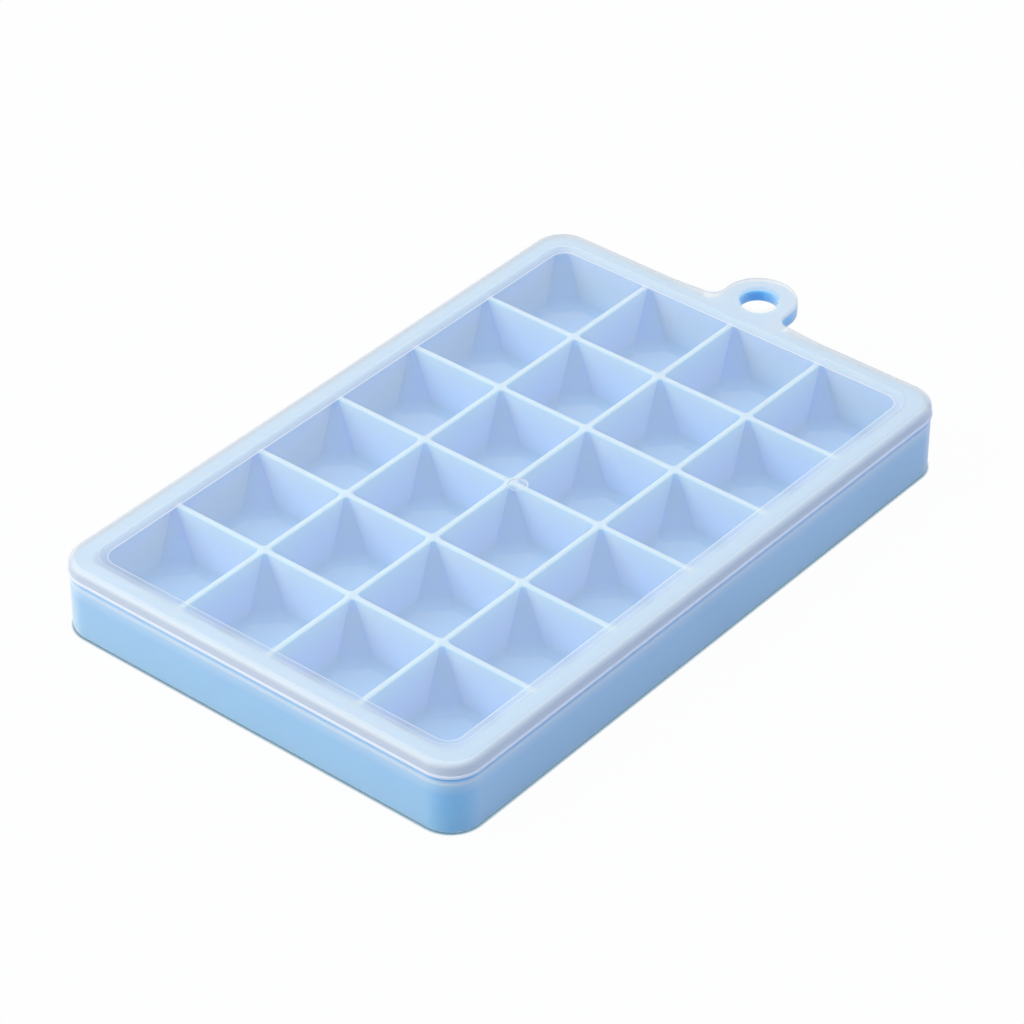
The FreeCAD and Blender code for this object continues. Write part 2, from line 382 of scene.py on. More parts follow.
def border(bm, faces):
    """The vertices of the open edge round a patch of faces, in order."""
    bm.edges.index_update()
    edges = {edge for face in faces if face.is_valid for edge in face.edges if len(edge.link_faces) == 1}
    first = min(edges, key=lambda edge: edge.index)
    start, vert = first.verts
    verts = [start]
    edge = first
    while vert is not start:
        verts.append(vert)
        edge = next(other for other in vert.link_edges if other in edges and other is not edge)
        vert = edge.other_vert(vert)
    return verts


def circle_spokes(centre, radius, steps):
    """Spokes of a full circle."""
    return arc_spokes(centre, radius, 0, 360, steps)[:-1]


def add_ear_hole(bm, settings, radius, z_high, z_low, rounding):
    """Wall of the ear's hole with rounded edges. Returns its top and bottom rings, which are for fill()."""
    spokes = circle_spokes(Vector((0, ear_middle_y(settings))), radius, HOLE_STEPS)
    steps = quarter(rounding, steps=4)
    rings = [ring(bm, spokes, out, z_high - down) for out, down in steps]
    rings += [ring(bm, spokes, out, z_low + down) for out, down in reversed(steps)]
    skin(bm, rings)
    return rings[0], rings[-1]


def finish_piece(bm, name, node, material, grid_y):
    """Makes the object, moves it to the grid's place and hands it to the frame."""
    bmesh.ops.remove_doubles(bm, verts=bm.verts, dist=PIECE_WELD)
    bmesh.ops.dissolve_degenerate(bm, edges=bm.edges, dist=PIECE_WELD)
    bmesh.ops.recalc_face_normals(bm, faces=bm.faces)
    bmesh.ops.translate(bm, verts=bm.verts, vec=(0, grid_y, 0))
    open_edges = sum(1 for edge in bm.edges if len(edge.link_faces) != 2)
    if open_edges:
        raise RuntimeError("%s has %d edges that don't join two faces" % (name, open_edges))
    mesh = bpy.data.meshes.new(name)
    bm.to_mesh(mesh)
    bm.free()
    mesh.shade_smooth()
    mesh.set_sharp_from_angle(angle=CRISP_ANGLE)
    mesh.materials.append(material)
    piece = bpy.data.objects.new(name, mesh)
    bpy.context.scene.collection.objects.link(piece)
    normals = piece.modifiers.new("Even Shading", "WEIGHTED_NORMAL")
    normals.keep_sharp = True
    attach(piece, "root")
    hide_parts(node)


# Shared places


def grid_centre_y(settings):
    """The cell grid's middle in the frame, from the CAD lid's front edge."""
    low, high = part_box("lid")
    half_y = half_sizes(settings.grid, settings.tray.wall_margin + settings.lid.lip)[1]
    return low[1] + half_y


def ear_middle_y(settings):
    """How far behind the grid's middle the ear's hole lies."""
    return half_sizes(settings.grid, settings.tray.wall_margin)[1] + settings.ear.reach


def channel_roof_z(settings):
    """Height of the channel's roof."""
    return settings.tray.shoulder - settings.underside.channel_roof


def slot_half(settings):
    """Half the width of the opening that the lid's skirt leaves for the ear."""
    return settings.ear.radius + settings.ear.fillet + settings.ear.slot


# Materials


def add_node(tree, kind, settings=None, links=None):
    """Adds a node; settings are its own properties or input values, links its linked inputs."""
    node = tree.nodes.new(kind)
    for key, value in (settings or {}).items():
        if isinstance(key, str) and hasattr(node, key):
            setattr(node, key, value)
        else:
            node.inputs[key].default_value = value
    for key, output in (links or {}).items():
        tree.links.new(output, node.inputs[key])
    return node


def scale_for(width_mm):
    """Scale at which a noise pattern's features are about this wide."""
    return 1000 / width_mm


def blank_material(name):
    """A new material with no nodes."""
    material = bpy.data.materials.new(name)
    material.use_nodes = True
    material.node_tree.nodes.clear()
    return material


def ray_shares(tree, share):
    """Two outputs: this share where the eye looks directly, and where it looks into or through the object."""
    path = add_node(tree, "ShaderNodeLightPath")
    inside = add_node(tree, "ShaderNodeMath", {"operation": "MAXIMUM"},
                      {0: path.outputs["Is Glossy Ray"], 1: path.outputs["Is Transmission Ray"]})
    shares = [add_node(tree, "ShaderNodeMath", {"operation": "MULTIPLY", 1: share}, {0: ray})
              for ray in (path.outputs["Is Camera Ray"], inside.outputs["Value"])]
    return [node.outputs["Value"] for node in shares]


def moulded_silicone(colours):
    """Light blue moulded platinum silicone: satin, a little light passes into it, very fine mould grain; its
    colour also carries a painted glow, a painted highlight and a painted sheen.
    """
    material = blank_material("moulded_silicone")
    tree = material.node_tree
    place = add_node(tree, "ShaderNodeTexCoord").outputs["Object"]
    # Pigment clouds about 30 mm wide, hardly visible.
    cloud = add_node(tree, "ShaderNodeTexNoise", {"Scale": scale_for(30), "Detail": 2.0}, {"Vector": place})
    tint = add_node(tree, "ShaderNodeMix",
                    {"data_type": "RGBA", 6: colours.silicone[:], 7: colours.silicone_deep[:]},
                    {0: cloud.outputs["Fac"]})
    # Painted glow: the thin divider tops, and the walls below them less and less, are painted a paler blue by
    # the "thin" values, standing for light that passes a short way through thin silicone. The ledge gets a
    # painted highlight the same way.
    thin = add_node(tree, "ShaderNodeAttribute", {"attribute_name": "thin"})
    tint = add_node(tree, "ShaderNodeMix", {"data_type": "RGBA", 7: colours.painted_glow_blue[:]},
                    {0: thin.outputs["Fac"], 6: tint.outputs[2]})
    # Painted sheen: the colour turns to a pale blue at slanting angles, standing for white light that the
    # matt skin reflects there, so only what faces the eye shows the full blue.
    slant = add_node(tree, "ShaderNodeLayerWeight", {"Blend": 0.5})
    painted_sheen = add_node(tree, "ShaderNodeMapRange",
                     {"From Min": 0.15, "From Max": 1.0, "To Min": 0.0, "To Max": 0.75},
                     {"Value": slant.outputs["Facing"]})
    tint = add_node(tree, "ShaderNodeMix", {"data_type": "RGBA", 7: colours.silicone_sheen[:]},
                    {0: painted_sheen.outputs["Result"], 6: tint.outputs[2]})
    # Eroded mould steel leaves grain about 0.05 mm wide; it is drawn at 0.5 mm so that it shows.
    grain = add_node(tree, "ShaderNodeTexNoise", {"Scale": scale_for(0.5), "Detail": 3.0, "Roughness": 0.6},
                     {"Vector": place})
    # Patches of uneven gloss, 4 mm wide, from handling and flexing.
    wear = add_node(tree, "ShaderNodeTexNoise", {"Scale": scale_for(4), "Detail": 3.0}, {"Vector": place})
    gloss = add_node(tree, "ShaderNodeMapRange", {"To Min": 0.40, "To Max": 0.52},
                     {"Value": wear.outputs["Fac"]})
    bump = add_node(tree, "ShaderNodeBump", {"Strength": 0.18, "Distance": 0.00004},
                    {"Height": grain.outputs["Fac"]})
    shader = add_node(tree, "ShaderNodeBsdfPrincipled",
                      {"IOR": 1.41, "Specular IOR Level": 0.4, "Subsurface Weight": 0.8,
                       "Subsurface Radius": (0.5, 0.9, 1.0), "Subsurface Scale": 0.004},
                      {"Base Color": tint.outputs[2], "Roughness": gloss.outputs["Result"],
                       "Normal": bump.outputs["Normal"]})
    add_node(tree, "ShaderNodeOutputMaterial", {}, {"Surface": shader.outputs["BSDF"]})
    return material


def frosted_polypropylene(colours):
    """Thin moulded polypropylene, frosted: see-through with a white haze and a soft gloss."""
    material = blank_material("frosted_polypropylene")
    tree = material.node_tree
    place = add_node(tree, "ShaderNodeTexCoord").outputs["Object"]
    # The moulded texture's depth sets the haze of each part. Flow of the melt varies it over some 25 mm.
    depth = add_node(tree, "ShaderNodeAttribute", {"attribute_name": "haze"})
    flow = add_node(tree, "ShaderNodeTexNoise", {"Scale": scale_for(25), "Detail": 2.0}, {"Vector": place})
    drift = add_node(tree, "ShaderNodeMapRange", {"To Min": 0.92, "To Max": 1.08},
                     {"Value": flow.outputs["Fac"]})
    haze = add_node(tree, "ShaderNodeMath", {"operation": "MULTIPLY", "use_clamp": True},
                    {0: depth.outputs["Fac"], 1: drift.outputs["Result"]})
    # Haze scatters light forwards, so the light that goes on into the cells loses less than the eye sees.
    path = add_node(tree, "ShaderNodeLightPath")
    passed = add_node(tree, "ShaderNodeMath", {"operation": "MULTIPLY"},
                      {0: haze.outputs["Value"], 1: haze.outputs["Value"]})
    alpha = add_node(tree, "ShaderNodeMix", {"data_type": "FLOAT"},
                     {0: path.outputs["Is Camera Ray"], 2: passed.outputs["Value"], 3: haze.outputs["Value"]})
    # Spark-eroded texture about 0.1 mm wide, drawn at 0.6 mm so that it shows.
    frost = add_node(tree, "ShaderNodeTexNoise", {"Scale": scale_for(0.6), "Detail": 3.0, "Roughness": 0.6},
                     {"Vector": place})
    sheen = add_node(tree, "ShaderNodeMapRange", {"To Min": 0.30, "To Max": 0.42},
                     {"Value": flow.outputs["Fac"]})
    bump = add_node(tree, "ShaderNodeBump", {"Strength": 0.15, "Distance": 0.00003},
                    {"Height": frost.outputs["Fac"]})
    tint = add_node(tree, "ShaderNodeMix", {"data_type": "RGBA", 6: colours.lid[:], 7: colours.lid_edge[:]},
                    {0: haze.outputs["Value"]})
    shader = add_node(tree, "ShaderNodeBsdfPrincipled", {"IOR": 1.49},
                      {"Base Color": tint.outputs[2], "Roughness": sheen.outputs["Result"],
                       "Alpha": alpha.outputs[0], "Normal": bump.outputs["Normal"]})
    add_node(tree, "ShaderNodeOutputMaterial", {}, {"Surface": shader.outputs["BSDF"]})
    return material


def seamless_paper(colours):
    """Matt seamless paper: white to the eye, with a painted contact shadow, a narrow dark line at the
    object's foot.
    """
    material = blank_material("seamless_paper")
    tree = material.node_tree
    place = add_node(tree, "ShaderNodeTexCoord").outputs["Object"]
    # Paper fibres about 1 mm long.
    fibre = add_node(tree, "ShaderNodeTexNoise", {"Scale": scale_for(1), "Detail": 2.0}, {"Vector": place})
    bump = add_node(tree, "ShaderNodeBump", {"Strength": 0.03, "Distance": 0.00002},
                    {"Height": fibre.outputs["Fac"]})
    matt = add_node(tree, "ShaderNodeBsdfDiffuse", {"Color": colours.floor[:]},
                    {"Normal": bump.outputs["Normal"]})
    # Painted contact shadow: the paper right beside the tray is drawn darker, where shade falls under any
    # object that stands on it.
    contact_shadow = add_node(tree, "ShaderNodeAmbientOcclusion", {"samples": 4, "Distance": 0.0008})
    open_share = add_node(tree, "ShaderNodeMapRange", {"From Min": 0.5, "From Max": 0.95},
                          {"Value": contact_shadow.outputs["AO"]})
    shade = add_node(tree, "ShaderNodeMix", {"data_type": "RGBA", 6: colours.contact_shadow[:], 7: (1, 1, 1, 1)},
                     {0: open_share.outputs["Result"]})
    # Both white to the eye: plain in reflections, and with the painted dark foot line where it is seen
    # directly.
    plain = add_node(tree, "ShaderNodeEmission", {"Strength": 1.0})
    shadowed = add_node(tree, "ShaderNodeEmission", {"Strength": 1.0}, {"Color": shade.outputs[2]})
    direct, inside = ray_shares(tree, 0.97)
    reflected = add_node(tree, "ShaderNodeMixShader", {},
                         {0: inside, 1: matt.outputs["BSDF"], 2: plain.outputs["Emission"]})
    mixed = add_node(tree, "ShaderNodeMixShader", {},
                     {0: direct, 1: reflected.outputs["Shader"], 2: shadowed.outputs["Emission"]})
    add_node(tree, "ShaderNodeOutputMaterial", {}, {"Surface": mixed.outputs["Shader"]})
    return material


# The tray's cells

# Signs and turns of a cell's corners, and the points on each of its sides and corners
CELL_CORNERS = ((1, -1, 270), (1, 1, 0), (-1, 1, 90), (-1, -1, 180))
SIDE_SHARES = (0.1, 0.3, 0.5, 0.7, 0.9)
CORNER_POINTS = 9

# Shares of the painted paler blue: a painted glow down a cell's walls, and a painted highlight along the
# ledge from above its edge to below it
WALL_GLOW = (0.55, 0.46, 0.38, 0.3, 0.2)
LEDGE_HIGHLIGHT = (0.4, 0.8, 1.0, 0.8, 0.4)

# Levels of a cell's straight wall, and a ring on its floor that keeps the floor's shading level
WALL_SHARES = (0.2, 0.4, 0.6, 0.8)
FLOOR_RING = 0.0012
SMALLEST_ROUND = 0.00005


def cell_limits(index, count, pitch, divider, edge_gain):
    """Mouth and boundary of one cell along one direction: its low and high edges."""
    low = (index - count / 2) * pitch
    high = low + pitch
    first, last = index == 0, index == count - 1
    if first:
        low -= edge_gain
    if last:
        high += edge_gain
    mouth = (low if first else low + divider / 2, high if last else high - divider / 2)
    return mouth, (low, high), (first, last)


def flat_reach(flat, rounding):
    """How far along a wall a corner flat with rounded edges begins."""
    return flat + rounding * math.tan(math.pi / 8)


def corner_path(flat, rounding):
    """Points and outward directions of a corner cut off flat; the square corner is the origin."""
    reach = flat_reach(flat, rounding)
    path = []
    for angle in (0, 15, 30, 45):
        way = Vector((math.cos(math.radians(angle)), math.sin(math.radians(angle))))
        path.append((Vector((-rounding, -reach)) + way * rounding, way))
    path.append((Vector((-flat / 2, -flat / 2)), path[-1][1]))
    return path + [(Vector((point.y, point.x)), Vector((way.y, way.x))) for point, way in reversed(path[:4])]


def with_sides(corners):
    """Adds the points of the straight sides between four corners' points."""
    points = []
    for corner, following in zip(corners, corners[1:] + corners[:1]):
        points += corner + [corner[-1].lerp(following[0], share) for share in SIDE_SHARES]
    return points


def cell_ring(mouth, outer, flat, rounding, edge_flat, inset, edge):
    """Points of one level of a cell: walls inset from the mouth, then moved out over the dividers by edge."""
    corners = []
    for sign_x, sign_y, start in CELL_CORNERS:
        square = Vector((mouth[0][sign_x > 0] - sign_x * inset, mouth[1][sign_y > 0] - sign_y * inset))
        turn = Matrix.Rotation(math.radians(start), 2)
        edge_x = 0.0 if outer[0][sign_x > 0] else edge
        edge_y = 0.0 if outer[1][sign_y > 0] else edge
        more = edge_flat if outer[0][sign_x > 0] and outer[1][sign_y > 0] else 0.0
        points = []
        for point, way in corner_path(flat + more, rounding + more / 2):
            out = turn @ way
            points.append(square + turn @ point + out * (edge_x * out.x ** 2 + edge_y * out.y ** 2))
        corners.append(points)
    return with_sides(corners)


def boundary_ring(mouth, boundary, outer, flat, rounding, edge_flat):
    """Points round the cell's share of the divider tops: on the grid lines, or on the pocket's edge."""
    reach = flat_reach(flat, rounding)
    corners = []
    for sign_x, sign_y, start in CELL_CORNERS:
        square = Vector((mouth[0][sign_x > 0], mouth[1][sign_y > 0]))
        far = Vector((boundary[0][sign_x > 0], boundary[1][sign_y > 0]))
        if outer[0][sign_x > 0] and outer[1][sign_y > 0]:
            turn = Matrix.Rotation(math.radians(start), 2)
            path = corner_path(flat + edge_flat, rounding + edge_flat / 2)
            corners.append([square + turn @ point for point, _ in path])
            continue
        on_x = [Vector((far.x, square.y - sign_y * reach)).lerp(far, step / 4) for step in range(5)]
        on_y = [Vector((square.x - sign_x * reach, far.y)).lerp(far, step / 4) for step in range(5)]
        begin, end = (on_x, on_y) if sign_x * sign_y > 0 else (on_y, on_x)
        corners.append(begin + end[-2::-1])
    return with_sides(corners)


def wall_glow_share(index):
    """How much of the wall's painted glow a point of a cell's level gets.

    The glow stands for light passing through the dividers, which get thicker downwards, and where four cells
    meet there is no thin wall.
    """
    place = index % (CORNER_POINTS + len(SIDE_SHARES))
    if place >= CORNER_POINTS:
        return 1.0
    return 0.5 if place in (0, CORNER_POINTS - 1) else 0.1


def cell_levels(tray):
    """(inset, way out over the divider, depth) of a cell's levels, from the divider tops to its floor."""
    wall_end = tray.depth - tray.floor_round
    wall = wall_end - tray.divider_round
    levels = [(0.0, edge_out, down) for edge_out, down in quarter(tray.divider_round, steps=5)]
    levels += [(0.0, 0.0, tray.divider_round + wall * share) for share in WALL_SHARES]
    levels += [(inwards, 0.0, tray.depth - upwards)
               for upwards, inwards in quarter(tray.floor_round, steps=7)]
    return levels + [(tray.floor_round + FLOOR_RING, 0.0, tray.depth)]


def add_cell(bm, tray, mouth, boundary, outer, colours):
    """One pocket with its share of the divider tops. Returns the faces."""
    top = tray.height - tray.divider_drop
    widening = (tray.floor_flat - tray.mouth_flat) / tray.depth
    points = boundary_ring(mouth, boundary, outer, tray.mouth_flat, tray.flat_round, tray.edge_flat)
    rings = [[bm.verts.new((point.x, point.y, top)) for point in points]]
    for inwards, edge_out, down in cell_levels(tray):
        flat = tray.mouth_flat + widening * down - inwards * (2 - math.sqrt(2))
        rounding = tray.flat_round + (tray.flat_round_low - tray.flat_round) * down / tray.depth
        rounding = max(rounding - inwards, SMALLEST_ROUND)
        more = max(tray.edge_flat * (1 - down / tray.depth), 0.0)
        inset = down * math.tan(tray.draft) + inwards
        points = cell_ring(mouth, outer, flat, rounding, more, inset, edge_out)
        rings.append([bm.verts.new((point.x, point.y, top - down)) for point in points])
    # Painted glow: paler blue on the divider tops and down the upper walls, standing for light that passes
    # through thin silicone
    store(bm, "thin", rings[:4], colours.top_glow)
    store(bm, "thin", rings[4:6], colours.edge_glow)
    for verts, pale in zip(rings[6:], WALL_GLOW):
        for index, vert in enumerate(verts):
            store(bm, "thin", [[vert]], pale * wall_glow_share(index))
    return skin(bm, rings) + [bm.faces.new(rings[-1])]


def add_cells(bm, settings):
    """All the pockets. Returns their faces."""
    grid, tray = settings.grid, settings.tray
    faces = []
    for column in range(grid.across):
        across = cell_limits(column, grid.across, grid.pitch_x, tray.divider, grid.edge_gain)
        for row in range(grid.along):
            along = cell_limits(row, grid.along, grid.pitch_y, tray.divider, grid.edge_gain)
            faces += add_cell(bm, tray, *zip(across, along), settings.colours)
    return faces


# The underside

# Distances in millimetres of the underside's mesh lines from a groove's middle and from the block's edge
GROOVE_LINES_MM = (0, 0.3, 0.6, 0.9, 1.2, 1.5, 1.9, 2.4, 3.0, 3.7, 4.4, 5.1, 5.8, 6.6)
BLOCK_LINES_MM = (0, 0.1, 0.3, 0.6, 1, 2, 3, 4, 5)


def smooth_max(first, second, blend):
    """The larger of two heights, with a soft change between them."""
    gap = max(0.0, blend - abs(first - second))
    return max(first, second) + gap * gap / (4 * blend)


def line_distance(value, count, pitch):
    """Distance from the nearest grid line between two cells."""
    line = min(max(round(value / pitch + count / 2), 1), count - 1)
    return abs(value - (line - count / 2) * pitch)


def underside_height(x, y, grid, underside):
    """Height of the underside between the cells: grooves under the dividers, pits where they cross."""
    away_x = line_distance(x, grid.across, grid.pitch_x)
    away_y = line_distance(y, grid.along, grid.pitch_y)
    height = 0.0
    for away in (away_x, away_y):
        groove = underside.groove_depth * (1 - 2 * away / underside.groove_width)
        height = smooth_max(height, groove, underside.groove_blend)
    rise = (underside.pit_reach - away_x - away_y) / (underside.pit_reach - underside.pit_tip)
    return smooth_max(height, underside.pit_depth * min(1.0, rise), underside.pit_blend)


def underside_lines(count, pitch, half, corner):
    """Positions of the underside's mesh lines, close together near grooves and edges."""
    lines = {half - corner}
    for index in range(1, count):
        line = (index - count / 2) * pitch
        for step in GROOVE_LINES_MM:
            lines.update((line - step / 1000, line + step / 1000))
    lines.update((index - count / 2 + 0.5) * pitch for index in range(count))
    lines.update(half - step / 1000 for step in BLOCK_LINES_MM)
    lines |= {-line for line in lines}
    return sorted({round(line, 6) for line in lines})


def add_pads(bm, settings, half_x, half_y):
    """The level pads under the cells with the grooves and pits between them. Returns the faces."""
    grid, underside = settings.grid, settings.underside
    corner, soft = underside.block_corner, underside.block_round
    xs = underside_lines(grid.across, grid.pitch_x, half_x, corner)
    ys = underside_lines(grid.along, grid.pitch_y, half_y, corner)
    rows = []
    for x in xs:
        row = []
        for y in ys:
            over_x, over_y = abs(x) - (half_x - corner), abs(y) - (half_y - corner)
            to_edge = max(0.0, min(half_x - abs(x), half_y - abs(y)))
            place_x, place_y = x, y
            if over_x > 0 and over_y > 0:
                squeeze = max(over_x, over_y) / math.hypot(over_x, over_y)
                place_x = math.copysign(half_x - corner + over_x * squeeze, x)
                place_y = math.copysign(half_y - corner + over_y * squeeze, y)
            height = underside_height(place_x, place_y, grid, underside)
            if to_edge < soft:
                height = max(height, soft - math.sqrt(soft ** 2 - (soft - to_edge) ** 2))
            row.append(bm.verts.new((place_x, place_y, height)))
        rows.append(row)
    return skin(bm, rows, closed=False)


# The tray's rim, walls and channel

# (out, up) of the small radius where the rim stands on the ledge
RIM_ROOT = ((0.00005, 0.00012), (0.00015, 0.00003))


def add_rim_and_ear(bm, settings, land_inner):
    """The rim's top and wall with the ear. Returns the ring where the rim meets the ledge."""
    grid, tray, ear = settings.grid, settings.tray, settings.ear
    root_y = half_sizes(grid, tray.rim_margin)[1]
    corner = tray.wall_corner - tray.wall_margin + tray.rim_margin
    around = wall_spokes(grid, tray.rim_margin, corner, slot_half(settings))
    ear_part = ear_spokes(ear, root_y, ear_middle_y(settings))
    whole = around + ear_part
    rings = [ring(bm, whole, -inwards, tray.height - down) for inwards, down in quarter(tray.rim_round)]
    hole_top, hole_bottom = add_ear_hole(bm, settings, ear.hole, tray.height, tray.ear_bottom, ear.low_round)
    fill(bm, [rings[0], land_inner, hole_top])

    # The ear's lower edge is rounded; the rim's wall goes straight on down there.
    soft = [0.0] * len(around)
    soft += [min(ear.low_round, max(0.0, (point.y - root_y) / 2)) for point, _ in ear_part]
    for share_in, share_down in reversed(quarter(1.0, steps=4)):
        outs = [-radius * share_in for radius in soft]
        rings.append(ring(bm, whole, outs, [tray.ear_bottom + radius * share_down for radius in soft]))
    skin(bm, rings)
    wall_foot = rings[-1][:len(around)]
    ear_foot = rings[-1][len(around):]
    start, end = around[-1][0], around[0][0]
    below_ear = ring(bm, straight_spokes(start, end, BACK, EAR_ROOT_STEPS), 0.0, tray.ear_bottom)
    fill(bm, [[wall_foot[-1]] + ear_foot + [wall_foot[0]] + below_ear[::-1], hole_bottom])
    return wall_foot + below_ear


def add_land(bm, settings, pockets):
    """The low step round the pockets, up to the rim's top. Returns its upper ring."""
    grid, tray = settings.grid, settings.tray
    half_x, half_y = half_sizes(grid, grid.edge_gain)
    corner = flat_reach(tray.mouth_flat + tray.edge_flat, tray.flat_round + tray.edge_flat / 2)
    foot = border(bm, pockets)
    spokes = [(vert.co.xy, outward_at(vert.co, half_x, half_y, corner)) for vert in foot]
    middle = tray.height - (tray.divider_drop + tray.land_round) / 2
    rings = [foot, ring(bm, spokes, 0.0, middle)]
    rings += [ring(bm, spokes, inwards, tray.height - down)
              for inwards, down in reversed(quarter(tray.land_round, steps=4))]
    skin(bm, rings)
    return rings[-1]


def add_outer_wall(bm, settings, rim_foot):
    """Ledge, outer wall, foot and the skirt's inner side. Returns the ring round the channel's roof."""
    tray, underside = settings.tray, settings.underside
    wall = closed_wall(settings.grid, tray.wall_margin, tray.wall_corner, slot_half(settings))
    gap = tray.wall_margin - tray.rim_margin
    rings = [rim_foot] + [ring(bm, wall, out - gap, tray.shoulder + up) for out, up in RIM_ROOT]
    ledge = [ring(bm, wall, -tray.shoulder_round * inwards, tray.shoulder - tray.shoulder_fall * down)
             for inwards, down in quarter(1.0, steps=8)]
    # Painted highlight: paler blue along the ledge's rounding, standing for light caught there
    for verts, pale in zip(ledge[4:], LEDGE_HIGHLIGHT):
        store(bm, "thin", [verts], pale)
    rings += ledge
    rings += [ring(bm, wall, 0.0, tray.shoulder * share) for share in (0.7, 0.4)]
    rings += [ring(bm, wall, -inwards, down) for inwards, down in reversed(quarter(tray.foot_round))]
    rings += [ring(bm, wall, inwards - underside.skirt, down)
              for inwards, down in quarter(underside.skirt_round, steps=3)]
    bend = underside.channel_round
    roof = channel_roof_z(settings)
    side = underside.skirt + (roof - bend) * math.tan(underside.skirt_draft)
    rings += [ring(bm, wall, -side - inwards, roof - spared) for spared, inwards in quarter(bend, steps=3)]
    skin(bm, rings)
    return rings[-1]


def add_block(bm, settings):
    """The block of cells from below: pads, grooves, pits and outer wall. Returns its upper ring."""
    grid, tray, underside = settings.grid, settings.tray, settings.underside
    slope = math.tan(tray.draft)
    margin = grid.edge_gain + underside.cell_wall - (tray.height - tray.divider_drop) * slope
    half_x, half_y = half_sizes(grid, margin)
    foot = border(bm, add_pads(bm, settings, half_x, half_y))
    spokes = [(vert.co.xy, outward_at(vert.co, half_x, half_y, underside.block_corner)) for vert in foot]
    bend = underside.channel_round
    roof = channel_roof_z(settings)
    rings = [foot]
    for share in (0.5, 1.0):
        heights = [vert.co.z + (roof - bend - vert.co.z) * share for vert in foot]
        rings.append(ring(bm, spokes, [height * slope for height in heights], heights))
    rings += [ring(bm, spokes, (roof - bend) * slope + outwards, roof - spared)
              for spared, outwards in quarter(bend, steps=3)[1:]]
    skin(bm, rings)
    return rings[-1]


def build_tray(settings):
    """The silicone tray as one closed mesh."""
    bm = bmesh.new()
    bm.verts.layers.float.new("thin")
    pockets = add_cells(bm, settings)
    bmesh.ops.remove_doubles(bm, verts=bm.verts, dist=CLOSE)
    land = add_land(bm, settings, pockets)
    rim_foot = add_rim_and_ear(bm, settings, land)
    skirt_roof = add_outer_wall(bm, settings, rim_foot)
    block_roof = add_block(bm, settings)
    fill(bm, [skirt_roof, block_roof])
    return bm


class ICETRAY_OT_make_tray(bpy.types.Operator):
    """Build the light blue silicone tray: rim, ear, drafted cells, outer wall and underside"""

    bl_idname = "icetray.make_tray"
    bl_label = "Make Silicone Tray"

    def execute(self, context):
        settings = context.scene.ice_tray
        finish_piece(build_tray(settings), "silicone_tray", "tray",
                     moulded_silicone(settings.colours), grid_centre_y(settings))
        return {"FINISHED"}


# The lid

# A small bend as shares of its radius: along one side, then along the other
BEND = ((0, 1), (0.3, 0.3), (1, 0))
INNER_BEND = ((0, 1), (0.1, 0.5), (0.4, 0.2), (1, 0))

# The lip's upper outer edge: (in, down)
LIP_TOP = ((0.00004, 0.00008), (0, 0.0002))

# Keeps the rounded edge's shading from running down the skirt
EDGE_HOLD = 0.0005

# Over this length beside the ear, the band's edge grows from the ear's rounding to its own
EAR_EASE = 0.009

# (out, down) of the gate mark's edge, from the panel's top to the mark's middle
GATE_EDGE = ((0.0002, 0.0), (0.00005, 0.00003), (0.0, 0.0001), (-0.00002, 0.00024))
GATE_FLOOR = (0.0001, 0.0004)


def edge_roundings(settings, around, ear_part, root_y):
    """How far in and how far down the outer top edge is rounded: well on the skirt, less on the ear."""
    lid = settings.lid
    rounds, falls = [], []
    for point, _ in around:
        beside = min(1.0, (abs(point.x) - slot_half(settings)) / EAR_EASE)
        if point.y < root_y - CLOSE:
            beside = 1.0
        ease = beside * beside * (3 - 2 * beside)
        rounds.append(lid.ear_round + (lid.edge_round - lid.ear_round) * ease)
        falls.append(lid.ear_round + (lid.edge_fall - lid.ear_round) * ease)
    on_ear = [lid.ear_round] * len(ear_part)
    return rounds + on_ear, falls + on_ear


def skirt_profile(lid, under):
    """(out, height) of the skirt from below its rounded edge: down to the lip, round it and up the inside."""
    lip_top = lid.bottom + lid.lip_height
    small, foot, inner = lid.lip_round, lid.foot_round, lid.inner_round
    profile = [(0.0, lid.top - lid.edge_fall - EDGE_HOLD)]
    profile += [(small * out, lip_top + small * up) for out, up in BEND]
    profile += [(lid.lip - back, lip_top - down) for back, down in LIP_TOP]
    profile += [(lid.lip - small * back, lid.bottom + small * up) for back, up in BEND]
    profile += [(foot * out - lid.wall, lid.bottom + foot * up) for out, up in reversed(BEND)]
    return profile + [(-lid.wall - inner * back, under - inner * down) for back, down in INNER_BEND]


def add_slopes(bm, settings, under):
    """The slope down to the panel, above and below. Returns the rings of both."""
    grid, lid = settings.grid, settings.lid
    wall = closed_wall(grid, grid.edge_gain, lid.panel_corner + lid.ramp, slot_half(settings))
    fall = lid.ramp_drop / lid.ramp
    soft = lid.ramp_soft
    head = [(soft, 0.0), (0.0, fall * soft * 0.3), (-soft, fall * soft)]
    foot = [(-out - lid.ramp, lid.ramp_drop - down) for out, down in reversed(head)]
    # The bend at the upper slope's foot is narrow and shows as a thin line: (out, up) from there.
    line = ((0.00022, fall * 0.00022), (0.00018, fall * 0.00015), (-0.00008, 0.00001), (-0.00013, 0.0))
    narrow_foot = [(out - lid.ramp, lid.ramp_drop - up) for out, up in line]
    middle = (-lid.ramp / 2, lid.ramp_drop / 2)
    upper = [ring(bm, wall, out, lid.top - down) for out, down in head + [middle] + narrow_foot]
    lower = [ring(bm, wall, out - lid.seat_in, under - down) for out, down in head + foot]
    skin(bm, upper)
    skin(bm, lower)
    bm.faces.new(lower[-1])
    return upper, lower


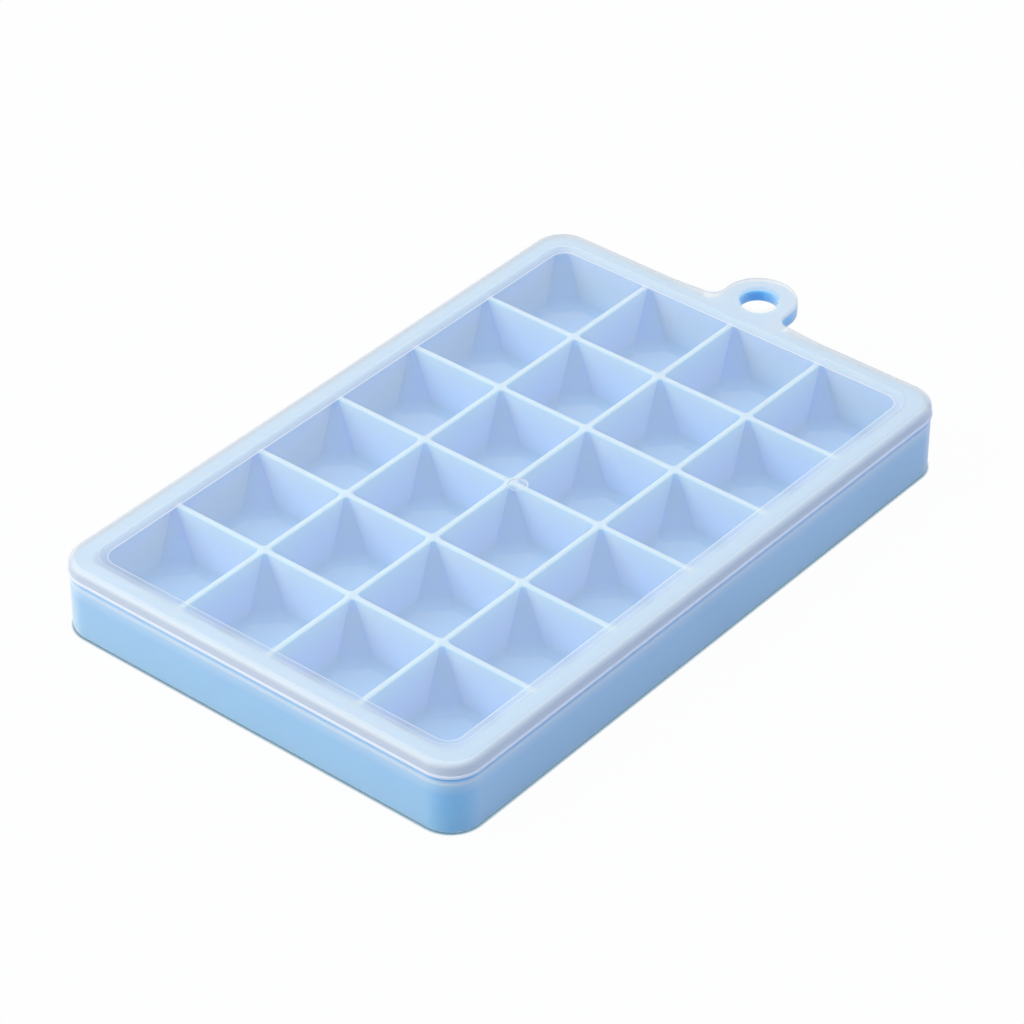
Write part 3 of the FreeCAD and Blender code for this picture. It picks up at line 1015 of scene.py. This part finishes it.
def add_gate_mark(bm, lid):
    """The round mark in the panel where the gate was. Returns its rings."""
    circle = circle_spokes(Vector((lid.gate_x, lid.gate_y)), lid.gate, GATE_STEPS)
    panel_z = lid.top - lid.ramp_drop
    rings = [ring(bm, circle, out, panel_z - down) for out, down in GATE_EDGE]
    rings += [ring(bm, circle, -inwards, panel_z - lid.gate_depth) for inwards in GATE_FLOOR]
    skin(bm, rings)
    bm.faces.new(rings[-1])
    return rings


def build_lid(settings):
    """The frosted lid as one closed mesh."""
    grid, tray, ear = settings.grid, settings.tray, settings.ear
    lid, colours = settings.lid, settings.colours
    bm = bmesh.new()
    bm.verts.layers.float.new("haze")
    under = lid.top - lid.sheet + lid.seat
    root_y = half_sizes(grid, tray.wall_margin)[1]
    around = wall_spokes(grid, tray.wall_margin, tray.wall_corner, slot_half(settings))
    ear_part = ear_spokes(ear, root_y, ear_middle_y(settings))

    # Rounded outer edge of the top, then the skirt
    rounds, falls = edge_roundings(settings, around, ear_part, root_y)
    edge = [ring(bm, around + ear_part, [-radius * share_in for radius in rounds],
                 [lid.top - fall * share_down for fall in falls])
            for share_in, share_down in quarter(1.0, steps=8)]
    skin(bm, edge)
    skirt = [edge[-1][:len(around)]]
    skirt += [ring(bm, around, out, z) for out, z in skirt_profile(lid, under)]
    skin(bm, skirt, closed=False)

    # Ear: a short side wall, then its lower edge
    side = [[skirt[0][-1]] + edge[-1][len(around):] + [skirt[0][0]]]
    side += [ring(bm, [around[-1]] + ear_part + [around[0]], -inwards, under + rise)
             for inwards, rise in reversed(quarter(ear.lid_low_round, steps=3))]
    skin(bm, side, closed=False)
    for skirt_column, ear_column in ((-1, 0), (0, -1)):
        skirt_end = [verts[skirt_column] for verts in skirt]
        ear_end = [verts[ear_column] for verts in side[1:]]
        bm.faces.new(skirt_end + ear_end[::-1])
    hole_top, hole_bottom = add_ear_hole(bm, settings, ear.hole + ear.hole_fit, lid.top, under,
                                         ear.lid_hole_round)

    # Top and underside, each with its slope, and the panel
    slope, under_slope = add_slopes(bm, settings, under)
    gate = add_gate_mark(bm, lid)
    fill(bm, [edge[0], slope[0], hole_top])
    fill(bm, [skirt[-1] + side[-1], under_slope[0], hole_bottom])
    fill(bm, [slope[-1], gate[0]])

    for rings, haze in ((skirt + side + edge[3:], colours.skirt_haze),
                        (skirt[-2:] + edge[:3] + [hole_top, hole_bottom], colours.band_haze),
                        ([slope[0], under_slope[0]], colours.band_haze),
                        (skirt[3:11], colours.lip_haze),
                        (slope[2:5] + under_slope[1:3], colours.slope_haze),
                        (slope[1:2], colours.head_haze),
                        (slope[5:7], colours.foot_haze),
                        (slope[7:] + under_slope[3:] + gate[:1], colours.panel_haze),
                        (gate[1:-1], colours.gate_haze),
                        (gate[-1:], colours.gate_middle_haze)):
        store(bm, "haze", rings, haze)
    return bm


class ICETRAY_OT_make_lid(bpy.types.Operator):
    """Build the frosted lid: panel, slope, band, skirt with its lip, and ear"""

    bl_idname = "icetray.make_lid"
    bl_label = "Make Frosted Lid"

    def execute(self, context):
        settings = context.scene.ice_tray
        finish_piece(build_lid(settings), "frosted_lid", "lid",
                     frosted_polypropylene(settings.colours), grid_centre_y(settings))
        return {"FINISHED"}


# The stage

FLOOR_HALF = 3.0
# Keeps the floor off the plane of the tray's foot
FLOOR_GAP = 0.0001

# Place, width and height, power in watts and tint of each lamp; all face the tray.
# The side lamp is bluish, like skylight on the side away from the window.
LAMPS = {
    "window_light": ((-0.70, -0.85, 0.75), (0.8, 0.6), 9.5, (1.0, 0.91, 0.80)),
    "ceiling_light": ((-0.1, 0.1, 1.2), (1.2, 1.2), 6.2, (1.0, 1.0, 1.0)),
    "side_light": ((1.0, 0.9, 0.5), (0.6, 0.5), 2.2, (0.15, 0.40, 1.0)),
}

# The photograph in pixels: its width, the lens's focal length, and where the middle of the cells lies in it
PICTURE = 1024
FOCAL = 4089.3
SEEN_X, SEEN_Y = 511.14, 481.05

# Where the camera stands, seen from the middle of the cells
CAMERA_AZIMUTH, CAMERA_ELEVATION = math.radians(39.638), math.radians(36.662)
CAMERA_DISTANCE = 0.9520
SENSOR_MM = 36


def add_soft_light(name, location, size, power, tint):
    """A rectangular area lamp that faces the tray."""
    lamp = bpy.data.lights.new(name, "AREA")
    lamp.shape = "RECTANGLE"
    lamp.size, lamp.size_y = size
    lamp.energy = power
    lamp.color = tint
    holder = bpy.data.objects.new(name, lamp)
    holder.location = location
    holder.rotation_euler = (-Vector(location)).to_track_quat("-Z", "Y").to_euler()
    bpy.context.scene.collection.objects.link(holder)


def add_camera(settings):
    """Long lens, looking down at the tray from the front right."""
    level = math.cos(CAMERA_ELEVATION)
    back = Vector((math.sin(CAMERA_AZIMUTH) * level, -math.cos(CAMERA_AZIMUTH) * level,
                   math.sin(CAMERA_ELEVATION)))
    right = Vector((math.cos(CAMERA_AZIMUTH), math.sin(CAMERA_AZIMUTH), 0))
    above = back.cross(right)
    aim = Vector((0, grid_centre_y(settings), settings.tray.height - settings.tray.divider_drop))
    metres_per_pixel = CAMERA_DISTANCE / FOCAL
    shift = above * (SEEN_Y - PICTURE / 2) - right * (SEEN_X - PICTURE / 2)
    camera = bpy.data.cameras.new("long_lens")
    camera.sensor_width = SENSOR_MM
    camera.lens = FOCAL / PICTURE * SENSOR_MM
    camera.clip_start = 0.05
    holder = bpy.data.objects.new("long_lens", camera)
    turn = Matrix((right, above, back)).transposed().to_4x4()
    stand = aim + shift * metres_per_pixel + back * CAMERA_DISTANCE
    holder.matrix_world = Matrix.Translation(stand) @ turn
    bpy.context.scene.collection.objects.link(holder)
    bpy.context.scene.camera = holder


def add_floor(colours):
    """The level paper floor."""
    bm = bmesh.new()
    bmesh.ops.create_grid(bm, x_segments=4, y_segments=4, size=FLOOR_HALF)
    bmesh.ops.translate(bm, verts=bm.verts, vec=(0, 0, -FLOOR_GAP))
    mesh = bpy.data.meshes.new("floor")
    bm.to_mesh(mesh)
    bm.free()
    mesh.materials.append(seamless_paper(colours))
    floor = bpy.data.objects.new("floor", mesh)
    bpy.context.scene.collection.objects.link(floor)


def white_surroundings():
    """World that lights the tray softly and looks white to the eye."""
    world = bpy.data.worlds.new("white_surroundings")
    world.use_nodes = True
    tree = world.node_tree
    tree.nodes.clear()
    direct, inside = ray_shares(tree, 1.0)
    seen = add_node(tree, "ShaderNodeMath", {"operation": "MAXIMUM"}, {0: direct, 1: inside})
    level = add_node(tree, "ShaderNodeMapRange", {"To Min": 0.5, "To Max": 1.0},
                     {"Value": seen.outputs["Value"]})
    shell = add_node(tree, "ShaderNodeBackground", {"Color": (1, 1, 1, 1)},
                     {"Strength": level.outputs["Result"]})
    add_node(tree, "ShaderNodeOutputWorld", {}, {"Surface": shell.outputs["Background"]})
    return world


class ICETRAY_OT_make_stage(bpy.types.Operator):
    """Lay the pale floor and set the soft lamps, the white surroundings and the camera"""

    bl_idname = "icetray.make_stage"
    bl_label = "Make Stage"

    def execute(self, context):
        scene = context.scene
        add_floor(scene.ice_tray.colours)
        scene.world = white_surroundings()
        for name, (location, size, power, tint) in LAMPS.items():
            add_soft_light(name, location, size, power, tint)
        add_camera(scene.ice_tray)
        scene.view_settings.view_transform = "Standard"
        return {"FINISHED"}


class VIEW3D_PT_ice_tray(bpy.types.Panel):
    """Lists the steps that build the tray"""

    bl_label = "Ice Tray"
    bl_idname = "VIEW3D_PT_ice_tray"
    bl_space_type = "VIEW_3D"
    bl_region_type = "UI"
    bl_category = "Ice Tray"

    def draw(self, context):
        settings = context.scene.ice_tray
        for title, group in (("Grid", settings.grid), ("Tray", settings.tray),
                             ("Underside", settings.underside), ("Ear", settings.ear),
                             ("Lid", settings.lid), ("Colours", settings.colours)):
            box = self.layout.box()
            box.label(text=title)
            for name in group.bl_rna.properties.keys():
                if name not in ("rna_type", "name"):
                    box.prop(group, name)
        self.layout.operator(ICETRAY_OT_make_tray.bl_idname)
        self.layout.operator(ICETRAY_OT_make_lid.bl_idname)
        self.layout.operator(ICETRAY_OT_make_stage.bl_idname)


CLASSES = (GridSettings, TraySettings, UndersideSettings, EarSettings, LidSettings, ColourSettings,
           TrayModelSettings, ICETRAY_OT_make_tray, ICETRAY_OT_make_lid, ICETRAY_OT_make_stage,
           VIEW3D_PT_ice_tray)


def register():
    for cls in CLASSES:
        bpy.utils.register_class(cls)
    bpy.types.Scene.ice_tray = PointerProperty(type=TrayModelSettings)


def unregister():
    del bpy.types.Scene.ice_tray
    for cls in reversed(CLASSES):
        bpy.utils.unregister_class(cls)


def main():
    register()
    bpy.ops.icetray.make_tray()
    bpy.ops.icetray.make_lid()
    bpy.ops.icetray.make_stage()


if __name__ == "__main__":
    main()
